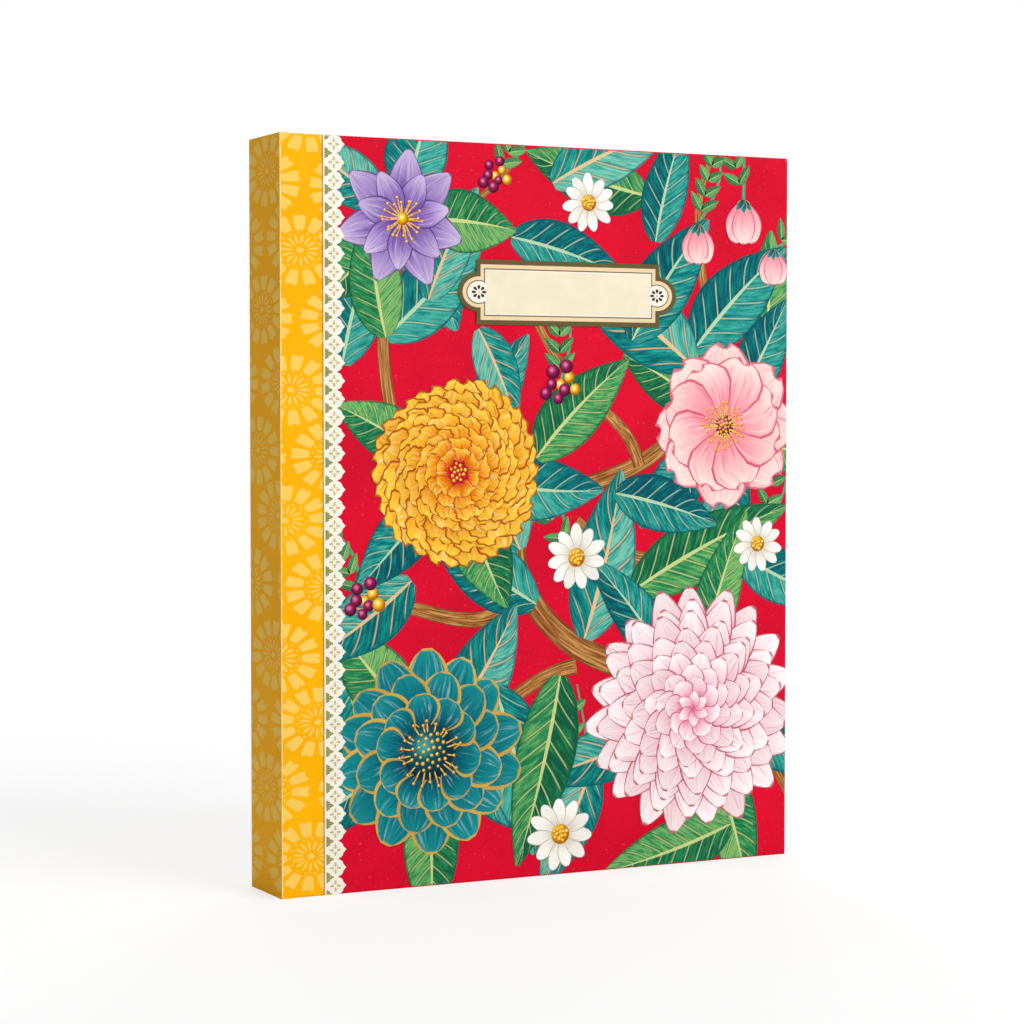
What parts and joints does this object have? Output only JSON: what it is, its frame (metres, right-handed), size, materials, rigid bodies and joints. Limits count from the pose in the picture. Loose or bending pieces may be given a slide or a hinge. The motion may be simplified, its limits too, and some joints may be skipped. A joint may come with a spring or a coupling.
{
  "type": "address book",
  "caption": "Case-bound address book with a flat spine, printed paper cover and stepped alphabetical index; covers, flyleaves and letter sections turn on folds.",
  "frame": {"origin": "middle of the footprint of the closed book standing on its tail edges", "axes": "+Z from tail to head, +X from spine to fore-edge, front cover faces -Y"},
  "size_m": [0.125, 0.0172, 0.16],
  "materials": {
    "cover_paper": "satin print",
    "spine_paper": "satin print",
    "board": "pressed grey board",
    "endpaper": "plain uncoated",
    "leaf_paper": "uncoated, ruled",
    "mull": "open weave",
    "kraft": "kraft",
    "band": "striped weave",
    "thread": "waxed thread"
  },
  "bodies": {
    "spine": {"spine_board": "board", "spine_cover_paper": "spine_paper", "section_folds": "leaf_paper", "sewing_thread": "thread", "endpaper_tips": "endpaper", "spine_mull": "mull", "spine_liner": "kraft", "headband": "band", "tailband": "band"},
    "front_cover": {"front_board": "board", "front_cover_paper": "cover_paper", "front_mull_flange": "mull", "front_pastedown": "endpaper"},
    "back_cover": {"back_board": "board", "back_cover_paper": "cover_paper", "back_mull_flange": "mull", "back_pastedown": "endpaper"},
    "front_free_leaf": {"front_flyleaf": "endpaper"},
    "back_free_leaf": {"back_flyleaf": "endpaper"},
    "leaves_a": {"section_a": "leaf_paper"},
    "leaves_b": {"section_b": "leaf_paper"},
    "leaves_c": {"section_c": "leaf_paper"},
    "leaves_d": {"section_d": "leaf_paper"},
    "leaves_e": {"section_e": "leaf_paper"},
    "leaves_f": {"section_f": "leaf_paper"},
    "leaves_g": {"section_g": "leaf_paper"},
    "leaves_h": {"section_h": "leaf_paper"},
    "leaves_i": {"section_i": "leaf_paper"},
    "leaves_j": {"section_j": "leaf_paper"},
    "leaves_k": {"section_k": "leaf_paper"},
    "leaves_l": {"section_l": "leaf_paper"},
    "leaves_m": {"section_m": "leaf_paper"},
    "leaves_n": {"section_n": "leaf_paper"},
    "leaves_o": {"section_o": "leaf_paper"},
    "leaves_p": {"section_p": "leaf_paper"},
    "leaves_q": {"section_q": "leaf_paper"},
    "leaves_r": {"section_r": "leaf_paper"},
    "leaves_s": {"section_s": "leaf_paper"},
    "leaves_t": {"section_t": "leaf_paper"},
    "leaves_u": {"section_u": "leaf_paper"},
    "leaves_v": {"section_v": "leaf_paper"},
    "leaves_w": {"section_w": "leaf_paper"},
    "leaves_xyz": {"section_xyz": "leaf_paper"}
  },
  "joints": [
    {"name": "front_cover_hinge", "type": "hinge", "parent": "spine", "child": "front_cover", "pos_m": [-0.0625, -0.0086, 0.08], "axis": [0, 0, -1], "range_deg": [0, 180]},
    {"name": "back_cover_hinge", "type": "hinge", "parent": "spine", "child": "back_cover", "pos_m": [-0.0625, 0.0086, 0.08], "axis": [0, 0, 1], "range_deg": [0, 180]},
    {"name": "front_flyleaf_turn", "type": "hinge", "parent": "spine", "child": "front_free_leaf", "pos_m": [-0.05558, -0.0061, 0.08], "axis": [0, 0, -1], "range_deg": [0, 136]},
    {"name": "back_flyleaf_turn", "type": "hinge", "parent": "spine", "child": "back_free_leaf", "pos_m": [-0.05558, 0.0061, 0.08], "axis": [0, 0, 1], "range_deg": [0, 136]},
    {"name": "leaves_a_turn", "type": "hinge", "parent": "spine", "child": "leaves_a", "pos_m": [-0.05558, -0.0061, 0.08], "axis": [0, 0, -1], "range_deg": [0, 115.3]},
    {"name": "leaves_b_turn", "type": "hinge", "parent": "spine", "child": "leaves_b", "pos_m": [-0.05558, -0.0061, 0.08], "axis": [0, 0, -1], "range_deg": [0, 105.4]},
    {"name": "leaves_c_turn", "type": "hinge", "parent": "spine", "child": "leaves_c", "pos_m": [-0.05558, -0.0061, 0.08], "axis": [0, 0, -1], "range_deg": [0, 95.5]},
    {"name": "leaves_d_turn", "type": "hinge", "parent": "spine", "child": "leaves_d", "pos_m": [-0.05558, -0.0061, 0.08], "axis": [0, 0, -1], "range_deg": [0, 85.6]},
    {"name": "leaves_e_turn", "type": "hinge", "parent": "spine", "child": "leaves_e", "pos_m": [-0.05558, -0.0061, 0.08], "axis": [0, 0, -1], "range_deg": [0, 75.7]},
    {"name": "leaves_f_turn", "type": "hinge", "parent": "spine", "child": "leaves_f", "pos_m": [-0.05558, -0.0061, 0.08], "axis": [0, 0, -1], "range_deg": [0, 65.8]},
    {"name": "leaves_g_turn", "type": "hinge", "parent": "spine", "child": "leaves_g", "pos_m": [-0.05558, -0.0061, 0.08], "axis": [0, 0, -1], "range_deg": [0, 55.9]},
    {"name": "leaves_h_turn", "type": "hinge", "parent": "spine", "child": "leaves_h", "pos_m": [-0.05558, -0.0061, 0.08], "axis": [0, 0, -1], "range_deg": [0, 46]},
    {"name": "leaves_i_turn", "type": "hinge", "parent": "spine", "child": "leaves_i", "pos_m": [-0.05558, -0.0061, 0.08], "axis": [0, 0, -1], "range_deg": [0, 36.1]},
    {"name": "leaves_j_turn", "type": "hinge", "parent": "spine", "child": "leaves_j", "pos_m": [-0.05558, -0.0061, 0.08], "axis": [0, 0, -1], "range_deg": [0, 26.2]},
    {"name": "leaves_k_turn", "type": "hinge", "parent": "spine", "child": "leaves_k", "pos_m": [-0.05558, -0.0061, 0.08], "axis": [0, 0, -1], "range_deg": [0, 16.3]},
    {"name": "leaves_l_turn", "type": "hinge", "parent": "spine", "child": "leaves_l", "pos_m": [-0.05558, -0.0061, 0.08], "axis": [0, 0, -1], "range_deg": [0, 6.4]},
    {"name": "leaves_m_turn", "type": "hinge", "parent": "spine", "child": "leaves_m", "pos_m": [-0.05558, 0.0061, 0.08], "axis": [0, 0, 1], "range_deg": [0, 6.4]},
    {"name": "leaves_n_turn", "type": "hinge", "parent": "spine", "child": "leaves_n", "pos_m": [-0.05558, 0.0061, 0.08], "axis": [0, 0, 1], "range_deg": [0, 16.3]},
    {"name": "leaves_o_turn", "type": "hinge", "parent": "spine", "child": "leaves_o", "pos_m": [-0.05558, 0.0061, 0.08], "axis": [0, 0, 1], "range_deg": [0, 26.2]},
    {"name": "leaves_p_turn", "type": "hinge", "parent": "spine", "child": "leaves_p", "pos_m": [-0.05558, 0.0061, 0.08], "axis": [0, 0, 1], "range_deg": [0, 36.1]},
    {"name": "leaves_q_turn", "type": "hinge", "parent": "spine", "child": "leaves_q", "pos_m": [-0.05558, 0.0061, 0.08], "axis": [0, 0, 1], "range_deg": [0, 46]},
    {"name": "leaves_r_turn", "type": "hinge", "parent": "spine", "child": "leaves_r", "pos_m": [-0.05558, 0.0061, 0.08], "axis": [0, 0, 1], "range_deg": [0, 55.9]},
    {"name": "leaves_s_turn", "type": "hinge", "parent": "spine", "child": "leaves_s", "pos_m": [-0.05558, 0.0061, 0.08], "axis": [0, 0, 1], "range_deg": [0, 65.8]},
    {"name": "leaves_t_turn", "type": "hinge", "parent": "spine", "child": "leaves_t", "pos_m": [-0.05558, 0.0061, 0.08], "axis": [0, 0, 1], "range_deg": [0, 75.7]},
    {"name": "leaves_u_turn", "type": "hinge", "parent": "spine", "child": "leaves_u", "pos_m": [-0.05558, 0.0061, 0.08], "axis": [0, 0, 1], "range_deg": [0, 85.6]},
    {"name": "leaves_v_turn", "type": "hinge", "parent": "spine", "child": "leaves_v", "pos_m": [-0.05558, 0.0061, 0.08], "axis": [0, 0, 1], "range_deg": [0, 95.5]},
    {"name": "leaves_w_turn", "type": "hinge", "parent": "spine", "child": "leaves_w", "pos_m": [-0.05558, 0.0061, 0.08], "axis": [0, 0, 1], "range_deg": [0, 105.4]},
    {"name": "leaves_xyz_turn", "type": "hinge", "parent": "spine", "child": "leaves_xyz", "pos_m": [-0.05558, 0.0061, 0.08], "axis": [0, 0, 1], "range_deg": [0, 115.3]}
  ],
  "couplings": [
    {"joint": "front_flyleaf_turn", "follows": "front_cover_hinge", "ratio": 0.75},
    {"joint": "back_flyleaf_turn", "follows": "back_cover_hinge", "ratio": 0.75},
    {"joint": "leaves_a_turn", "follows": "front_cover_hinge", "ratio": 0.635},
    {"joint": "leaves_b_turn", "follows": "front_cover_hinge", "ratio": 0.58},
    {"joint": "leaves_c_turn", "follows": "front_cover_hinge", "ratio": 0.525},
    {"joint": "leaves_d_turn", "follows": "front_cover_hinge", "ratio": 0.47},
    {"joint": "leaves_e_turn", "follows": "front_cover_hinge", "ratio": 0.415},
    {"joint": "leaves_f_turn", "follows": "front_cover_hinge", "ratio": 0.36},
    {"joint": "leaves_g_turn", "follows": "front_cover_hinge", "ratio": 0.305},
    {"joint": "leaves_h_turn", "follows": "front_cover_hinge", "ratio": 0.25},
    {"joint": "leaves_i_turn", "follows": "front_cover_hinge", "ratio": 0.195},
    {"joint": "leaves_j_turn", "follows": "front_cover_hinge", "ratio": 0.14},
    {"joint": "leaves_k_turn", "follows": "front_cover_hinge", "ratio": 0.085},
    {"joint": "leaves_l_turn", "follows": "front_cover_hinge", "ratio": 0.03},
    {"joint": "leaves_m_turn", "follows": "back_cover_hinge", "ratio": 0.03},
    {"joint": "leaves_n_turn", "follows": "back_cover_hinge", "ratio": 0.085},
    {"joint": "leaves_o_turn", "follows": "back_cover_hinge", "ratio": 0.14},
    {"joint": "leaves_p_turn", "follows": "back_cover_hinge", "ratio": 0.195},
    {"joint": "leaves_q_turn", "follows": "back_cover_hinge", "ratio": 0.25},
    {"joint": "leaves_r_turn", "follows": "back_cover_hinge", "ratio": 0.305},
    {"joint": "leaves_s_turn", "follows": "back_cover_hinge", "ratio": 0.36},
    {"joint": "leaves_t_turn", "follows": "back_cover_hinge", "ratio": 0.415},
    {"joint": "leaves_u_turn", "follows": "back_cover_hinge", "ratio": 0.47},
    {"joint": "leaves_v_turn", "follows": "back_cover_hinge", "ratio": 0.525},
    {"joint": "leaves_w_turn", "follows": "back_cover_hinge", "ratio": 0.58},
    {"joint": "leaves_xyz_turn", "follows": "back_cover_hinge", "ratio": 0.635}
  ]
}
